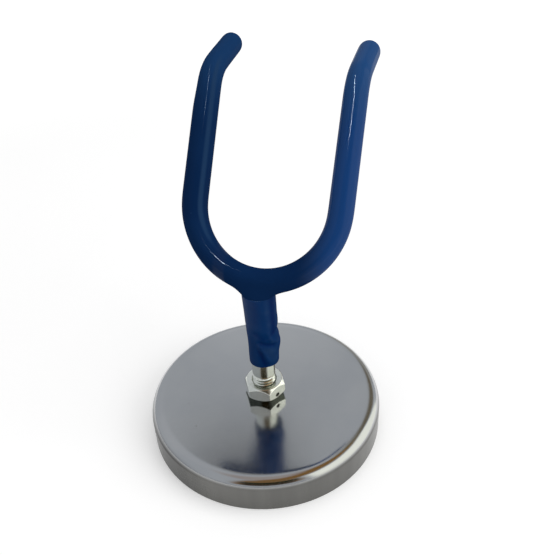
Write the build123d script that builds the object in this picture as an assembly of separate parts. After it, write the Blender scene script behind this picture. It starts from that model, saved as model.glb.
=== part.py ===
from build123d import *
import os
from math import cos, pi, radians, sin, tan

# Magnetic tool holder: a vinyl-coated fork on a threaded stem, which two nuts clamp
# upright in the middle of a round pot magnet.
# Millimetres and degrees. The origin is the middle of the magnet's face, +Z runs up
# the stem, X runs across the prongs, and the fork leans back towards +Y.

# Pot magnet
base_diameter = 80.0
base_height = 12.5
cup_sheet = 2.0
cup_edge_radius = 3.5
cup_rim_chamfer = 0.3
stem_hole_clearance = 0.5
potting_width = 3.0
potting_recess = 1.0
magnet_bore = 32.0
magnet_recess = 0.5
magnet_chamfer = 0.6

# Threaded stem
stem_diameter = 8.0
stem_end_chamfer = 0.8
stem_end_length = 1.4
weld_bead = 0.6
weld_length = 4.0
weld_saddle_depth = 1.0

# Nuts and washers
nut_sides = 6
nut_across_flats = 13.0
nut_crown_angle = 30.0
nut_crown_share = 0.95
nut_countersink = 0.4
nut_thread_clearance = 0.05
lock_nut_height = 6.5
lock_nut_turn = 56.0
lock_nut_dot_diameter = 1.7
lock_nut_dot_depth = 0.4
retaining_nut_height = 4.0
retaining_nut_turn = 20.0
spring_washer_width = 3.35
spring_washer_thickness = 2.0
spring_washer_gap = 1.0
spring_washer_slant = 30.0
flat_washer_diameter = 16.0
flat_washer_thickness = 1.6
washer_clearance = 0.2

# Fork
rod_diameter = 6.0
fork_root_height = 61.0
fork_lean = 35.5
bow_radius = 23.5
prong_length = 34.0
tip_bend_radius = 15.0
tip_bend_angle = 51.0
tip_length = 14.5

# Vinyl coating of the fork and sleeve of the stem
coating_thickness = 1.0
tip_coating_thickness = 0.5
tip_cap_thickness = 1.2
tip_end_rounding = 1.1
boss_wall = 0.6
boss_rounding = 3.0
boss_blend = 0.8
sleeve_foot_height = 28.0
sleeve_foot_wall = 0.8
sleeve_head_wall = 1.45
sleeve_foot_rounding = 0.6

# Sizes that follow from the ones above
cup_ceiling = base_height - cup_sheet
cup_bore = base_diameter - 2 * cup_sheet
cup_inner_edge_radius = cup_edge_radius - cup_sheet
magnet_diameter = cup_bore - 2 * potting_width
stem_hole = stem_diameter + 2 * stem_hole_clearance
weld_diameter = stem_diameter + 2 * weld_bead
boss_diameter = weld_diameter + 2 * boss_wall
sleeve_foot_diameter = stem_diameter + 2 * sleeve_foot_wall
sleeve_head_diameter = stem_diameter + 2 * sleeve_head_wall
nut_bore = stem_diameter + 2 * nut_thread_clearance
nut_across_corners = nut_across_flats / cos(pi / nut_sides)
spring_washer_diameter = nut_bore + 2 * spring_washer_width
flat_washer_foot = cup_ceiling - flat_washer_thickness
spring_washer_foot = flat_washer_foot - spring_washer_thickness
retaining_nut_foot = spring_washer_foot - retaining_nut_height
stem_foot = retaining_nut_foot - stem_end_length
stem_head = fork_root_height - rod_diameter / 2 + weld_saddle_depth
coated_radius = rod_diameter / 2 + coating_thickness
coated_tip_radius = rod_diameter / 2 + tip_coating_thickness
sleeve_head_height = fork_root_height - coated_radius

foot_align = (Align.CENTER, Align.CENTER, Align.MIN)


def turned(*outline):
    """Solid turned about the stem's axis from an outline of (radius, height) points."""
    return revolve(Plane.XZ * make_face(Polyline(*outline, close=True)), Axis.Z)


def ring(outer_diameter, inner_diameter, foot, head):
    """Plain ring about the stem's axis, from one height to another."""
    blank = Cylinder(outer_diameter / 2, head - foot, align=foot_align)
    bore = Cylinder(inner_diameter / 2, head - foot, align=foot_align)
    return Pos(0, 0, foot) * (blank - bore)


def top_edges(solid):
    """Edges that lie highest on a solid."""
    return solid.edges().group_by(Axis.Z)[-1]


def bottom_edges(solid):
    """Edges that lie lowest on a solid."""
    return solid.edges().group_by(Axis.Z)[0]


def cup_cavity():
    """Inside of the pressed cup, up to its ceiling."""
    cavity = Cylinder(cup_bore / 2, cup_ceiling, align=foot_align)
    return fillet(top_edges(cavity), cup_inner_edge_radius)


def magnet_cup():
    """Pressed steel cup, open below, with a rounded shoulder and a hole for the stem."""
    pan = Cylinder(base_diameter / 2, base_height, align=foot_align)
    pan = fillet(top_edges(pan), cup_edge_radius)
    pan = chamfer(bottom_edges(pan), cup_rim_chamfer)
    hole = Cylinder(stem_hole / 2, base_height, align=foot_align)
    return pan - cup_cavity() - hole


def ring_magnet():
    """Ferrite ring against the cup's ceiling, a little short of the cup's rim."""
    blank = ring(magnet_diameter, magnet_bore, magnet_recess, cup_ceiling)
    return chamfer(bottom_edges(blank), magnet_chamfer)


def potting_ring():
    """Resin that fills the space between the magnet and the cup's wall."""
    core = Cylinder(magnet_diameter / 2, base_height, align=foot_align)
    below = Cylinder(base_diameter / 2, potting_recess, align=foot_align)
    return cup_cavity() - core - below


def hex_nut(height):
    """Hexagon nut, chamfered and countersunk on both faces."""
    corner_radius = nut_across_corners / 2
    face_radius = nut_across_flats * nut_crown_share / 2
    crown = (corner_radius - face_radius) * tan(radians(nut_crown_angle))
    bore_radius = nut_bore / 2
    mouth_radius = bore_radius + nut_countersink
    prism = extrude(RegularPolygon(nut_across_flats / 2, nut_sides, major_radius=False), height)
    envelope = turned(
        (0, 0),
        (face_radius, 0),
        (corner_radius, crown),
        (corner_radius, height - crown),
        (face_radius, height),
        (0, height),
    )
    bore = turned(
        (0, 0),
        (mouth_radius, 0),
        (bore_radius, nut_countersink),
        (bore_radius, height - nut_countersink),
        (mouth_radius, height),
        (0, height),
    )
    return (prism & envelope) - bore


def lock_nut():
    """Nut above the cup, with a small round dot pressed into one flat."""
    dot = Cylinder(lock_nut_dot_diameter / 2, 2 * lock_nut_dot_depth)
    dot = Pos(0, -nut_across_flats / 2, lock_nut_height / 2) * Rot(90, 0, 0) * dot
    nut = hex_nut(lock_nut_height) - dot
    return Pos(0, 0, base_height) * Rot(0, 0, lock_nut_turn) * nut


def retaining_nut():
    """Thin nut inside the magnet's bore, which pulls the stem down on the cup."""
    nut = hex_nut(retaining_nut_height)
    return Pos(0, 0, retaining_nut_foot) * Rot(0, 0, retaining_nut_turn) * nut


def spring_washer():
    """Split spring washer, pressed flat, with its slanting gap on the +X side."""
    blank = ring(spring_washer_diameter, nut_bore, spring_washer_foot, flat_washer_foot)
    gap = Box(
        spring_washer_diameter,
        spring_washer_gap,
        spring_washer_diameter,
        align=(Align.MIN, Align.CENTER, Align.CENTER),
    )
    middle_height = (spring_washer_foot + flat_washer_foot) / 2
    return blank - Pos(0, 0, middle_height) * Rot(spring_washer_slant, 0, 0) * gap


def flat_washer():
    """Flat washer between the spring washer and the cup's ceiling."""
    bore = stem_diameter + 2 * washer_clearance
    return ring(flat_washer_diameter, bore, flat_washer_foot, cup_ceiling)


def prong_point(side, along, back):
    """Point on a prong's line: along it from the bow's lowest level, and back off it."""
    lean = radians(fork_lean)
    return Vector(
        side * bow_radius,
        along * sin(lean) + back * cos(lean),
        fork_root_height + along * cos(lean) - back * sin(lean),
    )


def bend_point(side, angle):
    """Point on the tip bend of a prong, by the angle turned so far."""
    turn = radians(angle)
    along = bow_radius + prong_length + tip_bend_radius * sin(turn)
    return prong_point(side, along, tip_bend_radius * (1 - cos(turn)))


def bow_and_prongs():
    """Centre line of the half-round bow and the two straight prongs."""
    bow_end = [prong_point(side, bow_radius, 0) for side in (-1, 1)]
    prong_end = [bend_point(side, 0) for side in (-1, 1)]
    root = Vector(0, 0, fork_root_height)
    return [
        Line(prong_end[0], bow_end[0]),
        ThreePointArc(bow_end[0], root, bow_end[1]),
        Line(bow_end[1], prong_end[1]),
    ]


def tip_bend(side):
    """Centre line of the bend between a prong and its tip."""
    return ThreePointArc(*(bend_point(side, angle) for angle in (0, tip_bend_angle / 2, tip_bend_angle)))


def tip_run(side, length):
    """Centre line of the straight tip beyond the bend."""
    bend = tip_bend(side)
    return Line(bend @ 1, bend @ 1 + (bend % 1) * length)


def swept(line, radius):
    """Round bar along a centre line."""
    return sweep((line ^ 0) * Circle(radius), path=line)


def fork_rod():
    """Steel rod, bent into a bow with two prongs whose tips turn back."""
    steel_tip = tip_length - tip_cap_thickness
    left = [tip_run(-1, steel_tip), tip_bend(-1)]
    right = [tip_bend(1), tip_run(1, steel_tip)]
    return swept(Curve() + left + bow_and_prongs() + right, rod_diameter / 2)


def stem_blank():
    """Stem and its weld bead, before the rod's seat is cut."""
    stem_radius = stem_diameter / 2
    return turned(
        (0, stem_foot),
        (stem_radius - stem_end_chamfer, stem_foot),
        (stem_radius, stem_foot + stem_end_chamfer),
        (stem_radius, stem_head - weld_length),
        (weld_diameter / 2, stem_head),
        (0, stem_head),
    )


def fork_stem(rod):
    """Threaded stem, saddled and welded under the middle of the rod's bow."""
    return stem_blank() - rod


def coated_tip(side):
    """Coated bend and tip of one prong, thinner towards its rounded end."""
    bend = tip_bend(side)
    sections = [(bend ^ 0) * Circle(coated_radius), (bend ^ 1) * Circle(coated_tip_radius)]
    end_run = tip_run(side, tip_length)
    end = swept(end_run, coated_tip_radius)
    rim = end.edges().filter_by(GeomType.CIRCLE).sort_by_distance(end_run @ 1)[0]
    return sweep(sections, path=bend, multisection=True) + fillet(rim, tip_end_rounding)


def coating_boss():
    """Rounded swelling of the coating over the weld."""
    boss = Cylinder(boss_diameter / 2, coated_radius, align=foot_align)
    return Pos(0, 0, sleeve_head_height) * fillet(top_edges(boss), boss_rounding)


def coated_fork():
    """Outside of the coating, with its inside still solid."""
    bar = swept(Curve() + bow_and_prongs(), coated_radius)
    boss = coating_boss()
    body = bar + boss
    body = fillet(new_edges(bar, boss, combined=body), boss_blend)
    return body + coated_tip(-1) + coated_tip(1)


def fork_coating(rod):
    """Vinyl skin of the fork, closed at the tips and down to the stem's sleeve."""
    return coated_fork() - rod - stem_blank()


def stem_sleeve():
    """Tapered vinyl sleeve, shrunk on the stem up to the fork's coating."""
    blank = turned(
        (0, sleeve_foot_height),
        (sleeve_foot_diameter / 2, sleeve_foot_height),
        (sleeve_head_diameter / 2, sleeve_head_height),
        (0, sleeve_head_height),
    )
    return fillet(bottom_edges(blank), sleeve_foot_rounding) - stem_blank()


def main():
    """Build every piece and write each one to its own file."""
    rod = fork_rod()
    pieces = {
        "magnet_cup": magnet_cup(),
        "ring_magnet": ring_magnet(),
        "potting_ring": potting_ring(),
        "lock_nut": lock_nut(),
        "fork_stem": fork_stem(rod),
        "retaining_nut": retaining_nut(),
        "spring_washer": spring_washer(),
        "flat_washer": flat_washer(),
        "fork_rod": rod,
        "fork_coating": fork_coating(rod),
        "stem_sleeve": stem_sleeve(),
    }
    os.makedirs("parts", exist_ok=True)
    for name, piece in pieces.items():
        export_step(piece, f"parts/{name}.step")


main()
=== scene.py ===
import bmesh
import bpy
from math import atan2, cos, degrees, exp, hypot, pi, radians, sin, tan
from mathutils import Matrix, Vector, noise


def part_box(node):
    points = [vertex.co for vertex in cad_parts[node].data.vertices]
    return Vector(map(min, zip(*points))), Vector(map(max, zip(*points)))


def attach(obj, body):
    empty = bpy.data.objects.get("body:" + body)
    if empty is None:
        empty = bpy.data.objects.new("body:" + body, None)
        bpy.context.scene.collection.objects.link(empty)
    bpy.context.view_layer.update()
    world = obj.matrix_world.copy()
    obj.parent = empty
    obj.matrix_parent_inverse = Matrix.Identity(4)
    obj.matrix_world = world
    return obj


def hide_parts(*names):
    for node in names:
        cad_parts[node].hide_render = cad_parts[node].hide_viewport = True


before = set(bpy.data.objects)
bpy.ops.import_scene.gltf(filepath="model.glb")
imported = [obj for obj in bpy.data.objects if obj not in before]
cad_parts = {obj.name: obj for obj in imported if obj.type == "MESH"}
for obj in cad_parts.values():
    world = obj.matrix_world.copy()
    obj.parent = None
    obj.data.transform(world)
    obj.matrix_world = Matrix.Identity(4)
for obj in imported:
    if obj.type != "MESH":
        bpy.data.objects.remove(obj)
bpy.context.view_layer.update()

# Shapes are worked out in millimetres, in the part's own frame, and made metres when a
# piece is finished. Lights, the room and the camera are in metres.
MM = 0.001
# Points of a mesh that lie closer than this are one
WELD = 0.0001


def box_mm(node):
    """Lowest and highest corner of a solid, in millimetres."""
    low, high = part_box(node)
    return low / MM, high / MM


# Sizes read from the solids
cup_high = box_mm("magnet_cup")[1]
magnet_low, magnet_high = box_mm("ring_magnet")
potting_low, potting_high = box_mm("potting_ring")
lock_nut_low, lock_nut_high = box_mm("lock_nut")
inner_nut_low, inner_nut_high = box_mm("retaining_nut")
spring_low, spring_high = box_mm("spring_washer")
washer_low, washer_high = box_mm("flat_washer")
stem_low, stem_high = box_mm("fork_stem")
sleeve_low, sleeve_high = box_mm("stem_sleeve")
rod_high = box_mm("fork_rod")[1]
coating_high = box_mm("fork_coating")[1]

cup_radius = cup_high.x
cup_height = cup_high.z
magnet_radius = magnet_high.x
potting_radius = potting_high.x
sleeve_head_radius = sleeve_high.x
rod_radius = 3.0
coating_radius = coating_high.x - rod_high.x + rod_radius
bow_radius = coating_high.x - coating_radius

# Pot magnet
cup_sheet = 2.0
cup_flat_radius = 34.8
cup_edge_radius = 3.6
cup_edge_tilt = radians(8)
cup_rim_rounding = 0.35
stem_hole_radius = 4.5
magnet_bore_radius = 16.0
magnet_chamfer = 0.6
chip_reach = 2.2
chip_depth = 2.6
resin_creep = 0.55

# Threaded stem, nuts and washers
stem_radius = 3.95
stem_end_chamfer = 0.8
thread_pitch = 1.25
thread_depth = 0.68
thread_clearance = 0.04
thread_head = 22.4
thread_runout = 1.5
nut_across_flats = 12.75
nut_crown_angle = 50.0
nut_crown_share = 0.95
nut_foot_angle = 41.0
nut_foot_share = 0.74
nut_bore_radius = 3.6
nut_countersink = 0.75
nut_edge_rounding = 0.14
lock_nut_turn = 60.0
inner_nut_turn = 20.0
dot_radius = 1.0
dot_depth = 0.4
dot_floor_share = 0.7
dot_drop = 0.5
spring_gap_angle = 8.0
spring_slant = radians(30)

# Fork
fork_root_height = 61.0
fork_lean = radians(35.5)
prong_length = 35.4
tip_bend_radius = 12.0
tip_bend_angle = radians(51.0)
tip_length = 15.9
bend_radius = 3.85
tip_radius = 3.72
tip_end_rounding = 1.15
left_tip_growth = 0.9
left_prong_growth = 0.24
stub_reach = 6.3
stub_inset = 0.2
sleeve_foot_radius = 4.8


# Mesh helpers


def verts_in(parts):
    """Vertices among the parts of a mesh."""
    return [part for part in parts if isinstance(part, bmesh.types.BMVert)]


def edges_in(parts):
    """Edges among the parts of a mesh."""
    return [part for part in parts if isinstance(part, bmesh.types.BMEdge)]


def clamped(value):
    """Value held between 0 and 1."""
    return min(1, max(0, value))


def spun(bm, geom, angle, steps, centre=(0, 0, 0), axis=(0, 0, 1), lift=0.0, merged=False):
    """Spin parts of a mesh, by default about the stem's axis, and give back the last copy."""
    return bmesh.ops.spin(
        bm,
        geom=geom,
        cent=centre,
        axis=axis,
        dvec=(0, 0, lift),
        angle=angle,
        steps=steps,
        use_merge=merged,
        use_normal_flip=False,
        use_duplicate=False,
    )["geom_last"]


def rotated(bm, verts, angle, axis="Z"):
    """Rotate vertices about an axis through the origin."""
    bmesh.ops.rotate(bm, verts=verts, cent=(0, 0, 0), matrix=Matrix.Rotation(angle, 3, axis))


def sliced(bm, place, outward):
    """Cut a mesh by a plane, drop what lies outward of it and give back the cut's edges."""
    cut = bmesh.ops.bisect_plane(
        bm,
        geom=bm.verts[:] + bm.edges[:] + bm.faces[:],
        dist=WELD,
        plane_co=place,
        plane_no=outward,
        clear_outer=True,
    )
    return edges_in(cut["geom_cut"])


def set_radius(vert, wanted):
    """Move a vertex to a radius about the stem's axis."""
    radius = hypot(vert.co.x, vert.co.y)
    vert.co.x *= wanted / radius
    vert.co.y *= wanted / radius


def drawn_outline(bm, outline, closed=True):
    """Edges in the XZ plane through (radius, height) points."""
    corners = [bm.verts.new((radius, 0, height)) for radius, height in outline]
    for first, second in zip(corners, corners[1:]):
        bm.edges.new((first, second))
    if closed:
        bm.edges.new((corners[-1], corners[0]))


def ring_edges(bm, radius, height):
    """Edges of the circle of one radius at one height."""

    def lies_on(vert):
        across = hypot(vert.co.x, vert.co.y)
        return abs(across - radius) < 0.01 and abs(vert.co.z - height) < 0.01

    return [edge for edge in bm.edges if all(lies_on(vert) for vert in edge.verts)]


def rounded(bm, edges, width, segments):
    """Round edges to an arc."""
    bmesh.ops.bevel(
        bm,
        geom=edges,
        offset=width,
        offset_type="OFFSET",
        segments=segments,
        profile=0.5,
        affect="EDGES",
        clamp_overlap=False,
        material=-1,
    )


def faced_outwards(bm):
    """Turn every face of a mesh outwards."""
    bmesh.ops.recalc_face_normals(bm, faces=bm.faces)


def turned(outline, roundings=(), steps=192):
    """Mesh turned from a closed outline, with (radius, height, width, segments) roundings."""
    bm = bmesh.new()
    drawn_outline(bm, outline)
    spun(bm, bm.verts[:] + bm.edges[:], 2 * pi, steps, merged=True)
    bmesh.ops.remove_doubles(bm, verts=bm.verts, dist=WELD)
    for radius, height, width, segments in roundings:
        rounded(bm, ring_edges(bm, radius, height), width, segments)
    faced_outwards(bm)
    return bm


def sharp_edges(bm, angle):
    """Edges at which two faces turn by more than an angle."""
    return [edge for edge in bm.edges if edge.is_manifold and edge.calc_face_angle(0) > angle]


def store_edges(bm):
    """Keep how sharply the surface turns at each vertex, for the wear on its edges."""
    bm.normal_update()
    layer = bm.verts.layers.float.new("edge")
    for vert in bm.verts:
        turns = [edge.calc_face_angle_signed(0) for edge in vert.link_edges if edge.is_manifold]
        vert[layer] = clamped(max(turns, default=0) / radians(30))


def flat_shaded(piece):
    """Let the large faces of a piece set its shading, so that its flats stay flat."""
    shading = piece.modifiers.new("large_faces", "WEIGHTED_NORMAL")
    shading.keep_sharp = True
    shading.weight = 80


def new_mesh(bm, name):
    """Mesh in metres from one in millimetres."""
    bmesh.ops.scale(bm, vec=(MM, MM, MM), verts=bm.verts)
    mesh = bpy.data.meshes.new(name)
    bm.to_mesh(mesh)
    bm.free()
    return mesh


def new_object(name, data):
    """Object in the scene."""
    made = bpy.data.objects.new(name, data)
    bpy.context.scene.collection.objects.link(made)
    return made


def finished(bm, name, node, body, slot, material, smooth_angle=40.0):
    """Object from a mesh in millimetres, standing for a solid and riding on its body."""
    store_edges(bm)
    mesh = new_mesh(bm, name)
    mesh.shade_smooth()
    mesh.set_sharp_from_angle(angle=radians(smooth_angle))
    mesh.materials.append(material)
    piece = new_object(name, mesh)
    if smooth_angle < 180:
        flat_shaded(piece)
    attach(piece, body)
    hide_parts(node)
    return piece


# Shader helpers


def add_node(tree, kind, inputs=(), **settings):
    """Node with its settings, and its sockets set to values or linked to other sockets."""
    node = tree.nodes.new(kind)
    for name, value in settings.items():
        setattr(node, name, value)
    for socket, value in dict(inputs).items():
        if isinstance(value, bpy.types.NodeSocket):
            tree.links.new(value, node.inputs[socket])
        else:
            node.inputs[socket].default_value = value
    return node


def maths(tree, operation, first, second=0.0):
    """Result of one sum on two values or sockets."""
    return add_node(tree, "ShaderNodeMath", {0: first, 1: second}, operation=operation).outputs[0]


def times(tree, first, *others):
    """Product of values or sockets."""
    for other in others:
        first = maths(tree, "MULTIPLY", first, other)
    return first


def plus(tree, start, *parts):
    """Value or socket plus shares of others, by (socket, share) parts."""
    for value, share in parts:
        start = maths(tree, "ADD", start, maths(tree, "MULTIPLY", value, share))
    return start


def mixed(tree, factor, first, second):
    """Colour mixed by a factor from two, each a socket or (red, green, blue)."""
    sockets = {"Factor": factor}
    for socket, colour in ((6, first), (7, second)):
        sockets[socket] = (*colour, 1) if isinstance(colour, tuple) else colour
    return add_node(tree, "ShaderNodeMix", sockets, data_type="RGBA").outputs[2]


def ranged(tree, value, low, high, to_low=0.0, to_high=1.0):
    """Value taken smoothly from one range to another, and held inside it."""
    sockets = {"Value": value, "From Min": low, "From Max": high, "To Min": to_low, "To Max": to_high}
    return add_node(tree, "ShaderNodeMapRange", sockets, interpolation_type="SMOOTHSTEP").outputs[0]


def coordinates(tree, kind="Object"):
    """Place on the object in its own coordinates, or its normal there."""
    return add_node(tree, "ShaderNodeTexCoord").outputs[kind]


def axes(tree, kind="Object"):
    """X, Y and Z of a place on the object, or of its normal."""
    return add_node(tree, "ShaderNodeSeparateXYZ", {"Vector": coordinates(tree, kind)}).outputs


def kept(tree, name):
    """Value kept at the vertices of a piece."""
    return add_node(tree, "ShaderNodeAttribute", attribute_name=name).outputs["Fac"]


def new_group(name, inputs, outputs):
    """Empty shader group with float inputs and outputs, and its end nodes."""
    tree = bpy.data.node_groups.new(name, "ShaderNodeTree")
    for socket, value in inputs.items():
        kind = "NodeSocketVector" if isinstance(value, tuple) else "NodeSocketFloat"
        made = tree.interface.new_socket(socket, in_out="INPUT", socket_type=kind)
        made.default_value = value
    for socket in outputs:
        tree.interface.new_socket(socket, in_out="OUTPUT", socket_type="NodeSocketFloat")
    return tree, tree.nodes.new("NodeGroupInput"), tree.nodes.new("NodeGroupOutput")


def cloud_group():
    """Soft uneven value between 0 and 1, with features of about 1 / Scale metres."""
    inputs = {"Scale": 100.0, "Stretch": (1.0, 1.0, 1.0), "Detail": 3.0}
    tree, given, result = new_group("uneven_cloud", inputs, ["Value"])
    given = given.outputs
    place = coordinates(tree)
    place = add_node(tree, "ShaderNodeMapping", {"Vector": place, "Scale": given["Stretch"]}).outputs[0]
    sockets = {"Vector": place, "Scale": given["Scale"], "Detail": given["Detail"]}
    cloud = add_node(tree, "ShaderNodeTexNoise", sockets).outputs["Fac"]
    tree.links.new(ranged(tree, cloud, 0.3, 0.7), result.inputs["Value"])
    return tree


def speck_group():
    """Mask of small round specks, of which only some of the cells of a net hold one."""
    inputs = {"Scale": 400.0, "Share": 0.1, "Size": 0.12}
    tree, given, result = new_group("specks", inputs, ["Mask"])
    given = given.outputs
    place = coordinates(tree)
    cells = add_node(tree, "ShaderNodeTexVoronoi", {"Vector": place, "Scale": given["Scale"]}).outputs
    near = ranged(tree, cells["Distance"], 0.0, given["Size"], 1.0, 0.0)
    shade = add_node(tree, "ShaderNodeSeparateColor", {"Color": cells["Color"]}).outputs[0]
    chosen = maths(tree, "LESS_THAN", shade, given["Share"])
    tree.links.new(times(tree, near, chosen), result.inputs["Mask"])
    return tree


def wear_group():
    """Mask along the edges of a piece, broken up by a cloud."""
    inputs = {"Scale": 700.0, "Amount": 1.0}
    tree, given, result = new_group("edge_wear", inputs, ["Mask"])
    given = given.outputs
    edge = kept(tree, "edge")
    place = coordinates(tree)
    sockets = {"Vector": place, "Scale": given["Scale"]}
    cloud = add_node(tree, "ShaderNodeTexNoise", sockets).outputs["Fac"]
    mask = times(tree, edge, ranged(tree, cloud, 0.35, 0.6), given["Amount"])
    tree.links.new(mask, result.inputs["Mask"])
    return tree


def lines_group():
    """Mask of thin lines along Y, as left by grinding."""
    inputs = {"Fineness": 3000.0, "Length": 3.0, "Share": 0.5}
    tree, given, result = new_group("grinding_lines", inputs, ["Mask"])
    given = given.outputs
    parts = axes(tree)
    scales = {"X": given["Fineness"], "Y": given["Length"], "Z": given["Fineness"]}
    scaled = {axis: times(tree, parts[axis], scale) for axis, scale in scales.items()}
    place = add_node(tree, "ShaderNodeCombineXYZ", scaled).outputs[0]
    sockets = {"Vector": place, "Scale": 1.0, "Detail": 2.0}
    cloud = add_node(tree, "ShaderNodeTexNoise", sockets).outputs["Fac"]
    tree.links.new(ranged(tree, cloud, given["Share"], 0.8), result.inputs["Mask"])
    return tree


groups = {
    "cloud": cloud_group(),
    "specks": speck_group(),
    "wear": wear_group(),
    "lines": lines_group(),
}


def use_group(tree, group, **inputs):
    """Output of a shared group, placed in a material with its own values."""
    node = add_node(tree, "ShaderNodeGroup", node_tree=groups[group])
    for socket, value in inputs.items():
        node.inputs[socket].default_value = value
    return node.outputs[0]


def cloudy(tree, scale, detail, stretch=(1.0, 1.0, 1.0)):
    """Soft uneven value between 0 and 1."""
    return use_group(tree, "cloud", Scale=scale, Detail=detail, Stretch=stretch)


def shader_socket(tree, name):
    """Socket of a material's shader."""
    return tree.nodes["Principled BSDF"].inputs[name.replace("_", " ")]


def new_material(name, **constants):
    """Material with its node tree, and with its fixed sockets set."""
    material = bpy.data.materials.new(name)
    material.use_nodes = True
    tree = material.node_tree
    for socket, value in constants.items():
        shader_socket(tree, socket).default_value = value
    return material, tree


def link_looks(tree, **looks):
    """Link values to the sockets of a material's shader."""
    for socket, value in looks.items():
        tree.links.new(value, shader_socket(tree, socket))


def link_bump(tree, height, depth):
    """Bump of a real depth in metres."""
    bump = add_node(tree, "ShaderNodeBump", {"Height": height, "Distance": depth, "Strength": 1.0})
    link_looks(tree, Normal=bump.outputs[0])


# Materials


def satin_nickel():
    """Nickel of the cup: polished on top and streaked on its wall, with painted shade: the wall far
    darker than the top, and darker still at its left front.
    """
    material, tree = new_material("satin_nickel", Metallic=1.0)
    parts = axes(tree)
    wall = ranged(tree, parts["Z"], 0.0112, 0.0096)
    below_rim = ranged(tree, parts["Z"], 0.0118, 0.0108)
    # Painted shade: the shoulder and the wall are painted darker towards the left front.
    left_front = plus(tree, 0.0, (parts["X"], -0.8), (parts["Y"], -0.6))
    painted_shade_left = ranged(tree, left_front, 0.029, 0.043, 0.0, 1.05)
    cloud = cloudy(tree, 55.0, 4.0)
    fine = cloudy(tree, 900.0, 2.0)
    streaks = cloudy(tree, 260.0, 3.0, (1.0, 1.0, 0.06))
    specks = use_group(tree, "specks", Scale=330.0, Share=0.035, Size=0.14)
    top = mixed(tree, cloud, (0.50, 0.508, 0.52), (0.535, 0.54, 0.545))
    top = mixed(tree, times(tree, painted_shade_left, below_rim), top, (0.27, 0.275, 0.28))
    # Painted shade: the wall is painted far darker than the top, standing for the darker floor that it
    # mirrors.
    side = mixed(tree, streaks, (0.142, 0.141, 0.134), (0.158, 0.157, 0.149))
    side = mixed(tree, painted_shade_left, side, (0.016, 0.017, 0.017))
    colour = mixed(tree, wall, top, side)
    colour = mixed(tree, times(tree, specks, 0.6), colour, (0.14, 0.13, 0.12))
    rough = plus(tree, 0.12, (cloud, 0.03), (fine, 0.02), (wall, 0.14), (specks, 0.3))
    link_looks(tree, Base_Color=colour, Roughness=rough)
    link_bump(tree, plus(tree, 0.0, (fine, 0.4), (specks, -1.0)), 0.000003)
    return material


def painted_shade_under_nut(tree):
    """Mask of painted shade on the undersides just above the cup: the lower chamfer of the lock nut."""
    down = ranged(tree, axes(tree, "Normal")["Z"], -0.35, -0.6)
    above_cup = ranged(tree, axes(tree)["Z"], 0.0122, 0.0126)
    return times(tree, down, above_cup, 0.9)


def bright_zinc():
    """Bright zinc with a faint yellow cast, worn whiter on edges, with painted shade on the lock nut's
    lower chamfer.
    """
    material, tree = new_material("bright_zinc", Metallic=1.0)
    cloud = cloudy(tree, 180.0, 3.0)
    fine = cloudy(tree, 2600.0, 3.0)
    wear = use_group(tree, "wear", Scale=900.0, Amount=0.8)
    colour = mixed(tree, cloud, (0.74, 0.76, 0.69), (0.86, 0.88, 0.81))
    colour = mixed(tree, wear, colour, (0.90, 0.90, 0.86))
    # Painted shade on the lock nut's lower chamfer, the faces that look down onto the cup.
    colour = mixed(tree, painted_shade_under_nut(tree), colour, (0.095, 0.110, 0.080))
    rough = plus(tree, 0.12, (fine, 0.08), (cloud, 0.05))
    link_looks(tree, Base_Color=colour, Roughness=rough)
    link_bump(tree, fine, 0.000006)
    return material


def dark_dot():
    """Dull floor of the pressed dot."""
    material, tree = new_material("dark_dot", Metallic=0.6)
    cloud = cloudy(tree, 2500.0, 3.0)
    colour = mixed(tree, cloud, (0.05, 0.055, 0.045), (0.13, 0.13, 0.11))
    link_looks(tree, Base_Color=colour, Roughness=plus(tree, 0.5, (cloud, 0.2)))
    link_bump(tree, cloud, 0.00002)
    return material


def drawn_steel():
    """Bare drawn steel of the rod inside the coating."""
    material, tree = new_material("drawn_rod", Metallic=1.0)
    cloud = cloudy(tree, 300.0, 4.0)
    colour = mixed(tree, cloud, (0.34, 0.34, 0.34), (0.46, 0.45, 0.44))
    link_looks(tree, Base_Color=colour, Roughness=plus(tree, 0.3, (cloud, 0.15)))
    return material


def ground_ferrite():
    """Sintered ferrite, ground flat, with fine pores and grinding lines."""
    material, tree = new_material("ground_ferrite")
    cloud = cloudy(tree, 120.0, 5.0)
    grain = cloudy(tree, 3500.0, 4.0)
    lines = use_group(tree, "lines", Fineness=3500.0, Length=25.0, Share=0.45)
    pores = use_group(tree, "specks", Scale=1300.0, Share=0.25, Size=0.28)
    wear = use_group(tree, "wear", Scale=500.0, Amount=0.6)
    colour = mixed(tree, cloud, (0.030, 0.031, 0.034), (0.052, 0.052, 0.056))
    colour = mixed(tree, times(tree, lines, 0.5), colour, (0.09, 0.09, 0.095))
    colour = mixed(tree, wear, colour, (0.12, 0.12, 0.125))
    colour = mixed(tree, pores, colour, (0.012, 0.012, 0.013))
    link_looks(tree, Base_Color=colour, Roughness=plus(tree, 0.62, (lines, -0.18)))
    link_bump(tree, plus(tree, 0.0, (grain, 0.4), (lines, 0.3), (pores, -1.0)), 0.00002)
    return material


def cast_resin():
    """Black casting resin, glossy in patches, with small bubbles."""
    material, tree = new_material("cast_resin")
    cloud = cloudy(tree, 140.0, 4.0)
    bubbles = use_group(tree, "specks", Scale=700.0, Share=0.2, Size=0.3)
    colour = mixed(tree, cloud, (0.014, 0.014, 0.016), (0.028, 0.027, 0.028))
    link_looks(tree, Base_Color=colour, Roughness=plus(tree, 0.18, (cloud, 0.25)))
    link_bump(tree, plus(tree, 0.0, (cloud, 0.8), (bubbles, -1.0)), 0.00006)
    return material


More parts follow.
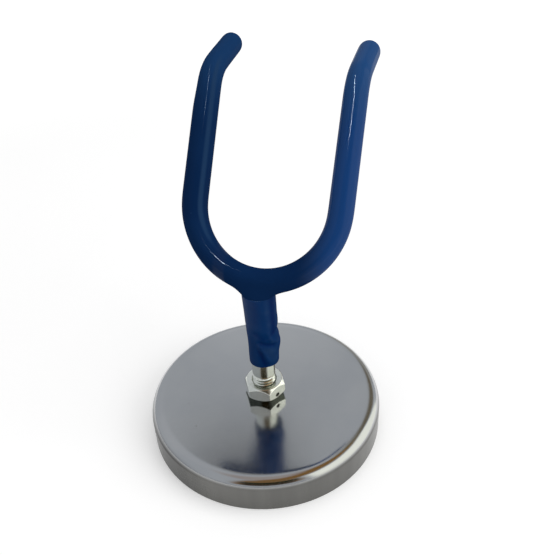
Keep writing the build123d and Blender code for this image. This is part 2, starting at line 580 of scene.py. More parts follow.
def painted_sheen_stripe(tree, across):
    """Mask of a painted sheen: a paler stripe along the inner front of the left prong, set by the way
    its surface faces.
    """
    facing = axes(tree, "Normal")
    inner = ranged(tree, facing["X"], 0.42, 0.60)
    not_edge = ranged(tree, facing["X"], 0.88, 0.70)
    front = ranged(tree, facing["Y"], 0.0, -0.4)
    left = ranged(tree, across, -0.012, -0.018, 0.0, 0.9)
    return times(tree, inner, not_edge, front, left)


def fork_sheen(tree, across, broad):
    """Strength of the fork's gloss: least on the left prong and under the bow."""
    left = ranged(tree, across, -0.0146, -0.0132, 0.03, 0.20)
    bow = times(tree, ranged(tree, across, -0.0108, -0.0096), ranged(tree, across, 0.018, 0.012))
    return plus(tree, times(tree, left, plus(tree, 1.0, (bow, -0.92))), (broad, -0.02))


def dipped_vinyl():
    """Deep blue glossy vinyl of the fork, with painted light: paler on the right prong, at the tips and
    in a stripe along the left prong.
    """
    gloss = {"Specular_IOR_Level": 0.0, "Coat_IOR": 1.5, "Coat_Roughness": 0.09}
    material, tree = new_material("dipped_vinyl", **gloss)
    parts = axes(tree)
    across = parts["X"]
    # Painted light: the right prong is painted paler and bluer, and the upper prongs and tips lighter.
    right = ranged(tree, across, 0.0135, 0.0235)
    high = ranged(tree, parts["Z"], 0.100, 0.116, 0.0, 0.6)
    high = times(tree, high, ranged(tree, across, -0.01, 0.01, 0.6, 1.0))
    tip = kept(tree, "tip")
    broad = cloudy(tree, 60.0, 3.0)
    wave = cloudy(tree, 420.0, 1.0)
    fine = cloudy(tree, 2400.0, 2.0)
    ridges = cloudy(tree, 1500.0, 2.0, (1.0, 0.15, 0.3))
    specks = use_group(tree, "specks", Scale=520.0, Share=0.05, Size=0.16)
    colour = mixed(tree, broad, (0.0040, 0.0215, 0.080), (0.0052, 0.0255, 0.090))
    colour = mixed(tree, right, colour, (0.0105, 0.056, 0.205))
    colour = mixed(tree, high, colour, (0.0175, 0.074, 0.205))
    # Painted sheen: a paler stripe along the left prong.
    colour = mixed(tree, painted_sheen_stripe(tree, across), colour, (0.0150, 0.047, 0.120))
    colour = mixed(tree, times(tree, specks, 0.5), colour, (0.02, 0.06, 0.15))
    rough = plus(tree, 0.10, (broad, 0.05), (fine, 0.05))
    sheen = fork_sheen(tree, across, broad)
    link_looks(tree, Base_Color=colour, Roughness=rough, Coat_Weight=sheen)
    skin = plus(tree, wave, (fine, 0.05), (ridges, times(tree, tip, 1.5)), (specks, 0.3))
    link_bump(tree, skin, 0.000012)
    return material


def shrunk_vinyl():
    """Blue vinyl of the sleeve, a little duller than the fork's, scuffed near its foot, with painted
    highlights and painted shade along its folds.
    """
    gloss = {"Specular_IOR_Level": 0.0, "Coat_IOR": 1.5, "Coat_Roughness": 0.24}
    material, tree = new_material("shrunk_vinyl", **gloss)
    painted_highlight = kept(tree, "painted_highlight")
    painted_fold_shade = kept(tree, "painted_fold_shade")
    broad = cloudy(tree, 110.0, 3.0)
    fine = cloudy(tree, 1800.0, 3.0)
    wear = use_group(tree, "wear", Scale=900.0, Amount=0.35)
    colour = mixed(tree, broad, (0.0020, 0.0285, 0.117), (0.0034, 0.0350, 0.136))
    # Painted highlights along the folds and painted shade in their hollows.
    colour = mixed(tree, painted_highlight, colour, (0.0125, 0.046, 0.140))
    colour = mixed(tree, painted_fold_shade, colour, (0.0004, 0.0135, 0.090))
    colour = mixed(tree, wear, colour, (0.013, 0.046, 0.13))
    rough = plus(tree, 0.22, (broad, 0.10), (fine, 0.08))
    sheen = plus(tree, ranged(tree, axes(tree)["X"], -0.001, 0.003, 0.20, 0.08), (fine, -0.04))
    link_looks(tree, Base_Color=colour, Roughness=rough, Coat_Weight=sheen)
    link_bump(tree, plus(tree, broad, (fine, 0.06)), 0.000014)
    return material


nickel = satin_nickel()
zinc = bright_zinc()
dot_finish = dark_dot()
steel = drawn_steel()
ferrite = ground_ferrite()
resin = cast_resin()
fork_vinyl = dipped_vinyl()
sleeve_vinyl = shrunk_vinyl()


# Pieces of the pot magnet


def shoulder_line():
    """Outline of the shoulder: the top eases down into the tighter bend of the edge."""
    centre = cup_radius - cup_edge_radius
    bend_start = centre + cup_edge_radius * sin(cup_edge_tilt)
    run = bend_start - cup_flat_radius
    fall = run * tan(cup_edge_tilt) / 3
    middle = cup_height - fall - cup_edge_radius * cos(cup_edge_tilt)
    ease_steps, bend_steps = 12, 16
    line = []
    for step in range(ease_steps):
        share = step / ease_steps
        line.append((cup_flat_radius + run * share, cup_height - fall * share ** 3))
    for step in range(bend_steps + 1):
        tilt = cup_edge_tilt + (pi / 2 - cup_edge_tilt) * step / bend_steps
        line.append((centre + cup_edge_radius * sin(tilt), middle + cup_edge_radius * cos(tilt)))
    return line


def cup_shell():
    """Pressed cup with its rounded shoulder, the stem's hole and a broken rim."""
    top = cup_height
    outline = [
        (stem_hole_radius, top),
        (cup_flat_radius / 2, top),
        *shoulder_line(),
        (cup_radius, 0),
        (cup_radius - cup_sheet, 0),
        (cup_radius - cup_sheet, top - cup_sheet),
        (stem_hole_radius, top - cup_sheet),
    ]
    roundings = [
        (cup_radius, 0, cup_rim_rounding, 3),
        (cup_radius - cup_sheet, 0, cup_rim_rounding, 3),
        (cup_radius - cup_sheet, top - cup_sheet, cup_edge_radius - cup_sheet, 4),
        (stem_hole_radius, top, 0.3, 3),
        (stem_hole_radius, top - cup_sheet, 0.2, 2),
    ]
    bm = turned(outline, roundings, steps=256)
    return finished(bm, "cup_shell", "magnet_cup", "magnet_base", "nickel_plate", nickel)


def chipped(bm, radius, height, inward):
    """Break small chips out of a ring edge, up and into the ring."""
    for vert in bm.verts:
        off_edge = hypot(hypot(vert.co.x, vert.co.y) - radius, vert.co.z - height)
        chip = noise.noise(Vector((vert.co.x * 0.55, vert.co.y * 0.55, height)))
        depth = max(0, chip - 0.32) * chip_depth * exp(-((off_edge / 0.9) ** 2))
        towards = Vector((vert.co.x, vert.co.y, 0)).normalized() * inward
        vert.co += (Vector((0, 0, 1)) + towards) * depth


def ferrite_ring():
    """Ground ring with small chips along its two lower edges."""
    foot, head = magnet_low.z, magnet_high.z
    outline = [
        (magnet_bore_radius, foot),
        (magnet_bore_radius + chip_reach, foot),
        (magnet_radius - chip_reach, foot),
        (magnet_radius, foot),
        (magnet_radius, head),
        (magnet_bore_radius, head),
    ]
    roundings = [
        (magnet_bore_radius, foot, magnet_chamfer, 3),
        (magnet_radius, foot, magnet_chamfer, 3),
        (magnet_bore_radius, head, 0.3, 2),
    ]
    bm = turned(outline, roundings, steps=384)
    chipped(bm, magnet_radius, foot, -1)
    chipped(bm, magnet_bore_radius, foot, 1)
    return finished(bm, "ferrite_ring", "ring_magnet", "magnet_base", "ferrite", ferrite)


def resin_fill():
    """Resin between magnet and cup, drawn up at both walls as it set."""
    foot, head = potting_low.z, potting_high.z
    gap = potting_radius - magnet_radius
    count = 10
    outline = [(magnet_radius, head), (potting_radius, head)]
    for step in range(count + 1):
        share = step / count
        rise = resin_creep * (2 * share - 1) ** 4
        outline.append((potting_radius - gap * share, foot - rise))
    bm = turned(outline, (), steps=288)
    for vert in bm.verts:
        if vert.co.z < foot + 0.5:
            vert.co.z += 0.18 * noise.noise(vert.co * 0.35) + 0.05 * noise.noise(vert.co * 1.3)
    return finished(bm, "resin_fill", "potting_ring", "magnet_base", "potting_resin", resin)


# Nuts, washers and stem


def nut_blank(height):
    """Hexagon nut at its own foot: a turned blank with a bore, cut by six flats."""
    corner_radius = nut_across_flats / 2 / cos(pi / 6) + 0.2
    head_radius = nut_across_flats * nut_crown_share / 2
    foot_radius = nut_across_flats * nut_foot_share / 2
    crown = (corner_radius - head_radius) * tan(radians(nut_crown_angle))
    heel = (corner_radius - foot_radius) * tan(radians(nut_foot_angle))
    mouth_radius = nut_bore_radius + nut_countersink
    outline = [
        (mouth_radius, 0),
        (foot_radius, 0),
        (corner_radius, heel),
        (corner_radius, height - crown),
        (head_radius, height),
        (mouth_radius, height),
        (nut_bore_radius, height - nut_countersink),
        (nut_bore_radius, nut_countersink),
    ]
    bm = turned(outline, (), steps=96)
    for side in range(6):
        turn = side * pi / 3
        outward = Vector((sin(turn), -cos(turn), 0))
        cut = sliced(bm, outward * nut_across_flats / 2, outward)
        bmesh.ops.edgeloop_fill(bm, edges=cut)
    bmesh.ops.remove_doubles(bm, verts=bm.verts, dist=0.002)
    faced_outwards(bm)
    return bm


def outer_edges(bm, angle, least_radius):
    """Sharp edges that lie outside a radius."""
    return [
        edge
        for edge in sharp_edges(bm, angle)
        if min(hypot(vert.co.x, vert.co.y) for vert in edge.verts) > least_radius
    ]


def hexagon_nut(name, node, body, low, high, turn):
    """Nut in its place, with its edges broken."""
    bm = nut_blank(high.z - low.z)
    rounded(bm, outer_edges(bm, radians(18), nut_bore_radius + 1.5), nut_edge_rounding, 2)
    rotated(bm, bm.verts, radians(turn))
    bmesh.ops.translate(bm, verts=bm.verts, vec=(0, 0, low.z))
    return finished(bm, name, node, body, "zinc_plate", zinc, smooth_angle=22.0)


def thread_profile(crest, root, start):
    """One pitch of the thread as (radius, height) points."""
    flank = thread_depth * tan(radians(30))
    flat = thread_pitch - 2 * flank
    crest_flat = flat * 0.38
    return [
        (crest, start),
        (crest, start + crest_flat),
        ((crest + root) / 2, start + crest_flat + flank / 2),
        (root, start + crest_flat + flank),
        (root, start + thread_pitch - flank),
        ((crest + root) / 2, start + thread_pitch - flank / 2),
        (crest, start + thread_pitch),
    ]


def faded_thread(bm, crest, foot):
    """Let the thread run out at its head, and chamfer it at the stem's foot."""
    for vert in bm.verts:
        radius = hypot(vert.co.x, vert.co.y)
        fade = clamped((thread_head - vert.co.z) / thread_runout)
        wanted = crest - (crest - radius) * fade * fade * (3 - 2 * fade)
        wanted = min(wanted, crest - stem_end_chamfer + max(0, vert.co.z - foot))
        set_radius(vert, wanted)


def threaded_stud():
    """Stem: a helical thread at its foot, a plain shank above."""
    foot, head = stem_low.z, stem_high.z
    crest = stem_radius - thread_clearance
    start = foot - 2 * thread_pitch
    turns = int((thread_head - start) / thread_pitch) + 2
    steps = 64
    bm = bmesh.new()
    drawn_outline(bm, thread_profile(crest, crest - thread_depth, start), closed=False)
    spun(bm, bm.verts[:] + bm.edges[:], 2 * pi * turns, turns * steps, lift=thread_pitch / steps)
    bmesh.ops.remove_doubles(bm, verts=bm.verts, dist=0.001)
    faded_thread(bm, crest, foot)
    lower = sliced(bm, (0, 0, foot), (0, 0, -1))
    upper = sliced(bm, (0, 0, thread_head), (0, 0, 1))
    bmesh.ops.edgeloop_fill(bm, edges=[edge for edge in lower if edge.is_valid])
    last = [edge for edge in upper if edge.is_valid]
    for height in (thread_head + 0.3, sleeve_low.z + 4, head - 4):
        grown = bmesh.ops.extrude_edge_only(bm, edges=last)["geom"]
        last = edges_in(grown)
        for vert in verts_in(grown):
            vert.co.z = height
            set_radius(vert, stem_radius)
    bmesh.ops.edgeloop_fill(bm, edges=last)
    faced_outwards(bm)
    return finished(bm, "threaded_stud", "fork_stem", "fork", "zinc_plate", zinc, smooth_angle=50.0)


def square(bore, outer, foot, head):
    """Square section of a ring as (radius, height) points."""
    return [(bore, foot), (outer, foot), (outer, head), (bore, head)]


def plain_washer():
    """Stamped washer: one face with a rounded rim, the other nearly sharp."""
    outer, foot, head = washer_high.x, washer_low.z, washer_high.z
    bore = stem_radius + 0.2
    roundings = [(outer, foot, 0.45, 4), (bore, foot, 0.3, 3), (outer, head, 0.08, 1)]
    bm = turned(square(bore, outer, foot, head), roundings, steps=128)
    return finished(bm, "plain_washer", "flat_washer", "fork", "zinc_plate", zinc)


def split_washer():
    """Spring washer: one square turn with a gap, its ends cut at a slant."""
    outer, foot, head = spring_high.x, spring_low.z, spring_high.z
    bore = stem_radius + 0.05
    bm = bmesh.new()
    drawn_outline(bm, square(bore, outer, foot, head))
    section = bmesh.ops.edgeloop_fill(bm, edges=bm.edges[:])["faces"]
    turn = 2 * pi - radians(spring_gap_angle)
    spun(bm, section, turn, 120)
    middle = (foot + head) / 2
    for vert in bm.verts:
        angle = atan2(vert.co.y, vert.co.x) % (2 * pi)
        share = abs(1 - 2 * angle / turn)
        lean = tan(spring_slant) * (vert.co.z - middle) * share ** 3
        rotated(bm, [vert], -lean / hypot(vert.co.x, vert.co.y))
    rotated(bm, bm.verts, radians(spring_gap_angle) / 2)
    bmesh.ops.remove_doubles(bm, verts=bm.verts, dist=WELD)
    faced_outwards(bm)
    rounded(bm, sharp_edges(bm, radians(50)), 0.18, 2)
    return finished(bm, "split_washer", "spring_washer", "fork", "zinc_plate", zinc)


# Fork and sleeve

lean_up = Vector((0, sin(fork_lean), cos(fork_lean)))
lean_back = Vector((0, cos(fork_lean), -sin(fork_lean)))
tip_along = lean_up * cos(tip_bend_angle) + lean_back * sin(tip_bend_angle)
fork_root = Vector((0, 0, fork_root_height))
bend_reach = bow_radius + prong_length
cage_sides = 16
# A subdivided ring shrinks, which this share makes good
ring_swell = 3 / (2 + cos(2 * pi / cage_sides))


def swept_on(bm, ring, centre, axis, angle, steps):
    """Turn an open ring of edges about an axis and give back its last copy."""
    last = spun(bm, ring, angle, steps, centre, axis)
    return verts_in(last) + edges_in(last)


def moved_on(bm, ring, along, scale=1.0):
    """Extrude a ring of edges along a vector and scale its copy about its middle."""
    grown = bmesh.ops.extrude_edge_only(bm, edges=edges_in(ring))["geom"]
    bmesh.ops.translate(bm, verts=verts_in(grown), vec=along)
    resized(bm, verts_in(grown), scale)
    return verts_in(grown) + edges_in(grown)


def resized(bm, verts, scale):
    """Scale a ring about its middle."""
    middle = sum((vert.co for vert in verts), Vector()) / len(verts)
    bmesh.ops.scale(bm, vec=(scale, scale, scale), verts=verts, space=Matrix.Translation(-middle))


def fork_cage():
    """Coarse cage of the whole coated fork, for a subdivision surface."""
    bm = bmesh.new()
    radius = coating_radius * ring_swell
    start = bmesh.ops.create_circle(bm, segments=cage_sides, radius=radius)["verts"]
    rotated(bm, start, pi / 2, "Y")
    bmesh.ops.translate(bm, verts=start, vec=fork_root)
    bow_middle = fork_root + lean_up * bow_radius
    bow_steps, prong_steps, bend_steps = 12, 11, 6
    ring = swept_on(bm, bm.verts[:] + bm.edges[:], bow_middle, lean_back, -pi / 2, bow_steps)
    taper = (bend_radius / coating_radius) ** (1 / prong_steps)
    for _ in range(prong_steps):
        ring = moved_on(bm, ring, lean_up * prong_length / prong_steps, taper)
    bend_middle = Vector((bow_radius, 0, fork_root_height))
    bend_middle += lean_up * bend_reach + lean_back * tip_bend_radius
    taper = (tip_radius / bend_radius) ** (1 / bend_steps)
    for _ in range(bend_steps):
        ring = swept_on(bm, ring, bend_middle, (1, 0, 0), -tip_bend_angle / bend_steps, 1)
        resized(bm, verts_in(ring), taper)
    for share in (0.3, 0.3, 0.2, 0.12):
        ring = moved_on(bm, ring, tip_along * tip_length * share)
    ring = moved_on(bm, ring, tip_along * (tip_length * 0.08), 1 - 0.12)
    ring = moved_on(bm, ring, tip_along * 0.0, 1 - tip_end_rounding / tip_radius)
    bmesh.ops.edgeloop_fill(bm, edges=edges_in(ring))
    whole = bm.verts[:] + bm.edges[:] + bm.faces[:]
    bmesh.ops.mirror(bm, geom=whole, axis="X", merge_dist=0.001)
    return bm


def hand_bent(bm):
    """Differences of the left prong: a thicker skin and a slightly longer tip."""
    skin_fade, tip_start, tip_blend = 6, 4, 8
    for vert in bm.verts:
        if vert.co.x > -bow_radius / 2:
            continue
        reach = (vert.co - fork_root).dot(lean_up)
        grown = clamped(reach / bow_radius) * clamped((bend_reach - reach) / skin_fade)
        off = (vert.co.x + bow_radius) / coating_radius
        vert.co.x += left_prong_growth * grown * (off - 1)
        slide = (vert.co - fork_root).dot(tip_along) - bend_reach * cos(tip_bend_angle) - tip_start
        vert.co += tip_along * left_tip_growth * clamped(slide / tip_blend)


def store_tips(bm):
    """Keep how far each vertex lies out on a tip, for the fine ridges there."""
    layer = bm.verts.layers.float.new("tip")
    tip_start, tip_blend = 3, 5
    for vert in bm.verts:
        reach = (vert.co - fork_root).dot(lean_up)
        vert[layer] = clamped((reach - bend_reach - tip_start) / tip_blend)


def joined_stub(bm):
    """Open the underside of the bow over the stem and draw the coating down round it."""

    def lies_below(face):
        middle = face.calc_center_median()
        near = abs(middle.x) < stub_reach and middle.y < coating_radius + 1
        return near and middle.z < fork_root_height + 0.3

    below = [face for face in bm.faces if lies_below(face)]
    bmesh.ops.delete(bm, geom=below, context="FACES")
    hole = [edge for edge in bm.edges if edge.is_boundary]
    radius = (sleeve_head_radius - stub_inset) * 1.01
    foot = bmesh.ops.create_circle(bm, segments=len(hole), radius=radius)["verts"]
    bmesh.ops.translate(bm, verts=foot, vec=(0, 0, sleeve_high.z - 0.1))
    foot_edges = list({edge for vert in foot for edge in vert.link_edges})
    bmesh.ops.bridge_loops(bm, edges=hole + foot_edges)
    ring = foot + foot_edges
    for drop in (0.8, 1.2):
        ring = moved_on(bm, ring, Vector((0, 0, -drop)))
    return ring


def vinyl_fork():
    """Coated fork: one smooth skin over bow, prongs, bent tips and the joint to the stem."""
    bm = fork_cage()
    hand_bent(bm)
    store_tips(bm)
    ring = joined_stub(bm)
    bmesh.ops.edgeloop_fill(bm, edges=edges_in(ring))
    faced_outwards(bm)
    names = ("vinyl_fork", "fork_coating", "fork", "blue_vinyl")
    piece = finished(bm, *names, fork_vinyl, smooth_angle=180.0)
    smooth = piece.modifiers.new("smooth_skin", "SUBSURF")
    smooth.levels = 3
    smooth.render_levels = 3
    return piece


def between(table, height):
    """Value at a height from a table of (height, value) rows that falls in height."""
    for upper, lower in zip(table, table[1:]):
        if height >= lower[0]:
            share = min(1, (upper[0] - height) / (upper[0] - lower[0]))
            return upper[1] + (lower[1] - upper[1]) * share * share * (3 - 2 * share)
    return table[-1][1]


def angle_between(first, second):
    """Signed angle between two directions, in degrees."""
    return (first - second + 180) % 360 - 180


def side_weight(angle, middle, wide):
    """Weight of one side of the sleeve at a direction, all in degrees, 1 at its middle."""
    return exp(-((angle_between(angle, middle) / wide) ** 2))


def fold(angle, height, start, end, wide):
    """Soft line on the sleeve between two (degrees, height) places, 1 on the line."""
    arc = radians(1) * (sleeve_foot_radius + 0.2)
    run = ((end[0] - start[0]) * arc, end[1] - start[1])
    off = (angle_between(angle, start[0]) * arc, height - start[1])
    length = hypot(*run)
    along = (off[0] * run[0] + off[1] * run[1]) / length
    across = (off[1] * run[0] - off[0] * run[1]) / length
    beyond = max(0, -along, along - length)
    return exp(-((across / wide) ** 2) - (beyond / wide) ** 2)


# Shape of the shrunk sleeve by (height, millimetres outward) on its two sides
sleeve_right = (
    (57, 0.0),
    (49.5, 0.25),
    (44.5, 0.5),
    (41.9, 0.15),
    (39.2, 0.8),
    (36.4, 1.25),
    (31.6, 0.72),
    (28, 0.7),
)
sleeve_left = ((57, -0.1), (44, -0.3), (36.4, -0.5), (28, -0.3))
# Folds by first and last (degrees, height), half width and millimetres outward
sleeve_folds = (
    ((-80, 37.6), (-47, 30.6), 0.8, 0.30),
    ((-92, 36.0), (-66, 29.4), 1.0, -0.24),
    ((-77, 39.2), (-28, 37.3), 0.75, -0.34),
    ((-50, 43.4), (-37, 40.2), 0.6, 0.16),
    ((-37, 40.2), (-12, 38.2), 0.7, 0.26),
    ((-92, 43.0), (-66, 40.6), 1.2, -0.14),
    ((-22, 33.5), (-18, 29.5), 1.6, 0.22),
)
# Places of painted highlight and of painted shade on the sleeve, by the same four values, as shares
sleeve_painted_highlights = (
    ((-45, 57.3), (-45, 52.0), 1.0, 0.55),
    ((-45, 52.0), (-38, 46.5), 1.0, 0.55),
    ((-38, 46.5), (-40, 43.2), 1.0, 0.5),
    ((-40, 41.5), (-31, 39.0), 0.45, 0.45),
    ((-31, 39.0), (-5, 38.0), 0.5, 0.45),
    ((-60, 36.2), (-30, 35.2), 1.1, 0.6),
    ((-45, 34.5), (-25, 31.5), 1.8, 0.7),
    ((-125, 55.0), (-125, 42.0), 1.1, 0.25),
)
sleeve_painted_shade = (
    ((-24, 56.5), (-23, 42.5), 1.2, 0.8),
    ((-75, 39.0), (-28, 37.4), 0.7, 0.6),
    ((-80, 35.2), (-64, 29.5), 1.0, 0.8),
    ((-92, 43.0), (-68, 40.8), 1.0, 0.4),
    ((-90, 56.0), (-90, 48.0), 1.2, 0.25),
)


def summed(table, angle, height):
    """Sum of the folds of a table at one place of the sleeve."""
    return sum(share * fold(angle, height, start, end, wide) for start, end, wide, share in table)


def vinyl_sleeve():
    """Shrunk sleeve: tapered, bulged on its right and folded where it was pinched."""
    foot, head = sleeve_low.z, sleeve_high.z
    bore = stem_radius + 0.05
    levels = 96
    outline = [(bore, head), (bore, foot)]
    for step in range(levels + 1):
        share = step / levels
        grown = (sleeve_head_radius - sleeve_foot_radius) * share ** 0.8
        outline.append((sleeve_foot_radius + grown, foot + (head - foot) * share))
    roundings = [(sleeve_foot_radius, foot, 0.6, 5), (sleeve_head_radius, head, 0.2, 3)]
    bm = turned(outline, roundings, steps=180)
    painted_highlight = bm.verts.layers.float.new("painted_highlight")
    painted_fold_shade = bm.verts.layers.float.new("painted_fold_shade")
    for vert in bm.verts:
        radius = hypot(vert.co.x, vert.co.y)
        if radius < bore + 0.1:
            continue
        direction, height = atan2(vert.co.y, vert.co.x), vert.co.z
        angle = degrees(direction)
        # Kept masks of painted highlight and painted shade.
        vert[painted_highlight] = min(1, summed(sleeve_painted_highlights, angle, height))
        vert[painted_fold_shade] = min(1, summed(sleeve_painted_shade, angle, height))
        out = between(sleeve_right, height) * side_weight(angle, 19, 52)
        out += between(sleeve_left, height) * side_weight(angle, -161, 60)
        out += summed(sleeve_folds, angle, height)
        out += 0.07 * noise.noise(Vector((cos(direction), sin(direction), height * 0.22)) * 1.2)
        wanted = radius + out
        vert.co.x = cos(direction) * wanted
        vert.co.y = sin(direction) * wanted
    bm.normal_update()
    names = ("vinyl_sleeve", "stem_sleeve", "fork", "blue_sleeve")
    return finished(bm, *names, sleeve_vinyl, smooth_angle=60.0)


def dotted(nut):
    """Press the round dot into the flat of the lock nut that faces forward."""
    turn = radians(lock_nut_turn - 90)
    outward = Vector((cos(turn), sin(turn), 0))
    middle = outward * nut_across_flats / 2
    middle.z = (lock_nut_low.z + lock_nut_high.z) / 2 - dot_drop
    facing = outward.to_track_quat("Z", "Y").to_matrix().to_4x4()
    bm = bmesh.new()
    bmesh.ops.create_cone(
        bm,
        cap_ends=True,
        segments=40,
        radius1=dot_radius * dot_floor_share,
        radius2=dot_radius,
        depth=2 * dot_depth,
        matrix=Matrix.Translation(middle) @ facing,
    )
    cutter = new_object("dot_cutter", new_mesh(bm, "dot_cutter"))
    for piece in (cutter, nut):
        piece.data.materials.append(dot_finish)
    nut.modifiers.clear()
    cut = nut.modifiers.new("dot", "BOOLEAN")
    cut.object = cutter
    cut.solver = "EXACT"
    cut.material_mode = "TRANSFER"
    bpy.context.view_layer.update()
    state = bpy.context.evaluated_depsgraph_get()
    shaped = bpy.data.meshes.new_from_object(nut.evaluated_get(state))
    nut.modifiers.clear()
    nut.data = shaped
    flat_shaded(nut)
    bpy.data.objects.remove(cutter)


cup_shell()
ferrite_ring()
resin_fill()
lock_nut_place = (lock_nut_low, lock_nut_high, lock_nut_turn)
dotted(hexagon_nut("hexagon_nut", "lock_nut", "lock_nut", *lock_nut_place))
inner_nut_place = (inner_nut_low, inner_nut_high, inner_nut_turn)
hexagon_nut("inner_nut", "retaining_nut", "fork", *inner_nut_place)
threaded_stud()
plain_washer()
split_washer()
fork_skin = vinyl_fork()
sleeve_skin = vinyl_sleeve()
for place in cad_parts["fork_rod"].material_slots:
    place.material = steel


# Floor, room, lights and camera

WHITE = (1, 1, 1, 1)
# Strengths of the light that the background and the floor's lift give
sky_strength = 0.42
floor_lift = 0.33


def emission(tree, colour, strength):
    """Light of a colour and strength."""
    return add_node(tree, "ShaderNodeEmission", {"Color": colour, "Strength": strength}).outputs[0]


def seen_or_mirrored(tree):
    """1 for rays from the camera, and from gloss and glass, that look for the background."""
    path = add_node(tree, "ShaderNodeLightPath").outputs
    either = maths(tree, "MAXIMUM", path["Is Camera Ray"], path["Is Glossy Ray"])
    return maths(tree, "MAXIMUM", either, path["Is Transmission Ray"])


def white_world():
    """White background."""
    world = bpy.data.worlds.new("white_world")
    bpy.context.scene.world = world
    world.use_nodes = True
    tree = world.node_tree
    tree.nodes.clear()
    strength = maths(tree, "MAXIMUM", seen_or_mirrored(tree), sky_strength)
    light = add_node(tree, "ShaderNodeBackground", {"Color": WHITE, "Strength": strength})
    add_node(tree, "ShaderNodeOutputWorld", {"Surface": light.outputs[0]})


def pale_floor():
    """Pale floor that keeps the shadow, white far out, seen through from below."""
    bpy.ops.mesh.primitive_plane_add(size=5.0)
    floor = bpy.context.object
    floor.name = "pale_floor"
    constants = {"Base_Color": (0.86, 0.86, 0.86, 1), "Roughness": 1.0, "Specular_IOR_Level": 0.0}
    material, tree = new_material("pale_floor", **constants)
    sockets = {0: coordinates(tree)}
    distance = add_node(tree, "ShaderNodeVectorMath", sockets, operation="LENGTH").outputs["Value"]
    level = ranged(tree, distance, 0.25, 0.9, floor_lift, 1.0)
    lift = emission(tree, WHITE, times(tree, seen_or_mirrored(tree), level))
    matt = tree.nodes["Principled BSDF"].outputs[0]
    lit = add_node(tree, "ShaderNodeAddShader", {0: matt, 1: lift}).outputs[0]
    below = add_node(tree, "ShaderNodeNewGeometry").outputs["Backfacing"]
    clear = add_node(tree, "ShaderNodeBsdfTransparent").outputs[0]
    surface = add_node(tree, "ShaderNodeMixShader", {0: below, 1: lit, 2: clear}).outputs[0]
    tree.links.new(surface, tree.nodes["Material Output"].inputs["Surface"])
    floor.data.materials.append(material)


def patch(tree, azimuth, height, middle, half, soft):
    """Mask of a soft-edged patch of the room by (azimuth, elevation) in degrees."""
    sockets = {0: maths(tree, "SUBTRACT", azimuth, middle[0]), 1: 180.0, 2: -180.0}
    turn = add_node(tree, "ShaderNodeMath", sockets, operation="WRAP").outputs[0]
    rise = maths(tree, "SUBTRACT", height, middle[1])
    wide = ranged(tree, maths(tree, "ABSOLUTE", turn), half[0] + soft, half[0] - soft)
    tall = ranged(tree, maths(tree, "ABSOLUTE", rise), half[1] + soft, half[1] - soft)
    return times(tree, wide, tall)


# Parts of the room by middle and half size as (azimuth, elevation), softness and colour,
# all angles in degrees and azimuth from the front
room_colour = (0.515, 0.54, 0.57)
room_parts = {
    "bright_back": ((198, 34), (8, 7), 4, (0.66, 0.685, 0.715)),
    "left_wall": ((246, 52), (28, 16), 9, (0.54, 0.56, 0.59)),
    "ceiling": ((0, 90), (180, 19), 6, (0.44, 0.39, 0.37)),
    "back_beam": ((162, 42), (15, 15), 5, (0.19, 0.165, 0.12)),
    "back_rail": ((140, 58), (22, 5), 4, (0.18, 0.155, 0.09)),
    "low_back": ((170, 12), (13, 15), 4, (0.40, 0.39, 0.36)),
    "shaded_spot": ((203, 54.7), (8, 6), 4.5, (0.26, 0.265, 0.27)),
    "timber_top": ((70, 67), (75, 12), 5, (0.27, 0.145, 0.045)),
    "timber_front": ((16, 45), (31, 24), 5, (0.25, 0.145, 0.06)),
    "dark_gap": ((17, 42.5), (28, 7), 3, (0.012, 0.022, 0.014)),
    "dark_foot": ((16, 28), (24, 6), 4, (0.010, 0.010, 0.008)),
    "window": ((97, 23), (43, 26), 3, (1.33, 1.35, 1.22)),
}


def room_tent():
    """Room that the metal mirrors: pale walls, a window on the right and dark timber in front."""
    tent_radius = 2.0
    bpy.ops.mesh.primitive_uv_sphere_add(segments=64, ring_count=32, radius=tent_radius)
    tent = bpy.context.object
    tent.name = "room_tent"
    bpy.ops.object.shade_smooth()
    material = bpy.data.materials.new("room_tent")
    material.use_nodes = True
    material.cycles.emission_sampling = "NONE"
    tree = material.node_tree
    tree.nodes.clear()
    parts = axes(tree)
    forward = times(tree, parts["Y"], -1.0)
    azimuth = maths(tree, "DEGREES", maths(tree, "ARCTAN2", parts["X"], forward))
    rise = maths(tree, "DIVIDE", parts["Z"], tent_radius)
    height = maths(tree, "DEGREES", maths(tree, "ARCSINE", rise))
    colour = room_colour
    for middle, half, soft, shade in room_parts.values():
        mask = patch(tree, azimuth, height, middle, half, soft)
        colour = mixed(tree, mask, colour, shade)
    add_node(tree, "ShaderNodeOutputMaterial", {"Surface": emission(tree, colour, 1.0)})
    tent.data.materials.append(material)
    tent.visible_camera = False
    tent.visible_diffuse = False


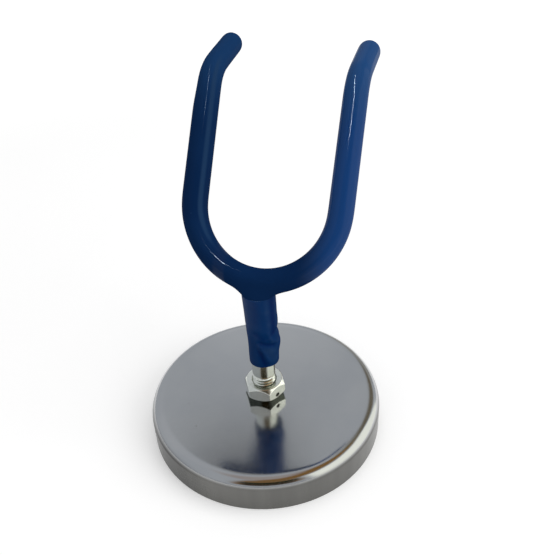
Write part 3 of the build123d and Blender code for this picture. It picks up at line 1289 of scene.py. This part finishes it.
def area_lamp(name, place, target, along, size, power, mirrored=False):
    """Soft rectangular lamp turned to a place, its second side running along a direction."""
    lamp = bpy.data.lights.new(name, "AREA")
    lamp.shape = "RECTANGLE"
    lamp.size, lamp.size_y = size
    lamp.energy = power
    stand = new_object(name, lamp)
    aim = (Vector(place) - Vector(target)).normalized()
    side = Vector(along).cross(aim).normalized()
    turn = Matrix((side, aim.cross(side), aim)).transposed().to_4x4()
    stand.matrix_world = Matrix.Translation(place) @ turn
    stand.visible_camera = False
    stand.visible_glossy = mirrored
    return stand


def strip_light(pieces):
    """Narrow bluish strip that gives long highlights to the gloss of some pieces alone."""
    place, target, along = (-0.018, -0.047, 0.30), (0, 0, 0.08), (0.08, -0.235, 0)
    strip = area_lamp("strip_light", place, target, along, (0.010, 0.226), 1.15, mirrored=True)
    strip.visible_diffuse = False
    strip.data.color = (0.72, 0.87, 1.0)
    lit = bpy.data.collections.new("vinyl")
    for piece in pieces:
        lit.objects.link(piece)
    strip.light_linking.receiver_collection = lit


def camera():
    """Camera at the photographed angle: an orbit about the middle of the base's top."""
    azimuth, elevation, distance = radians(19.054), radians(45.345), 0.25514
    heading, pitch, roll = radians(17.043), radians(36.393), radians(-2.818)
    focal_pixels, picture_pixels = 714.42, 555
    eye = bpy.data.cameras.new("camera")
    eye.sensor_fit = "HORIZONTAL"
    eye.sensor_width = 36.0
    eye.lens = focal_pixels / picture_pixels * eye.sensor_width
    eye.clip_start = 0.01
    stand = new_object("camera", eye)
    back = Vector((sin(azimuth) * cos(elevation), -cos(azimuth) * cos(elevation), sin(elevation)))
    place = Vector((0, 0, cup_height * MM)) + back * distance
    turn = Matrix.Rotation(heading, 4, "Z")
    turn @= Matrix.Rotation(pi / 2 - pitch, 4, "X") @ Matrix.Rotation(roll, 4, "Z")
    stand.matrix_world = Matrix.Translation(place) @ turn
    bpy.context.scene.camera = stand


white_world()
pale_floor()
room_tent()
strip_light((fork_skin, sleeve_skin))
area_lamp("overhead_softbox", (0.1, 0.2, 1.4), (0, 0, 0.05), (0, 1, 0), (1.2, 1.2), 5.8)
area_lamp("window_light", (1.05, -0.1, 0.85), (0, 0, 0.05), (0, 1, 0), (0.8, 1.2), 5.8)
camera()
bpy.context.scene.view_settings.view_transform = "Standard"
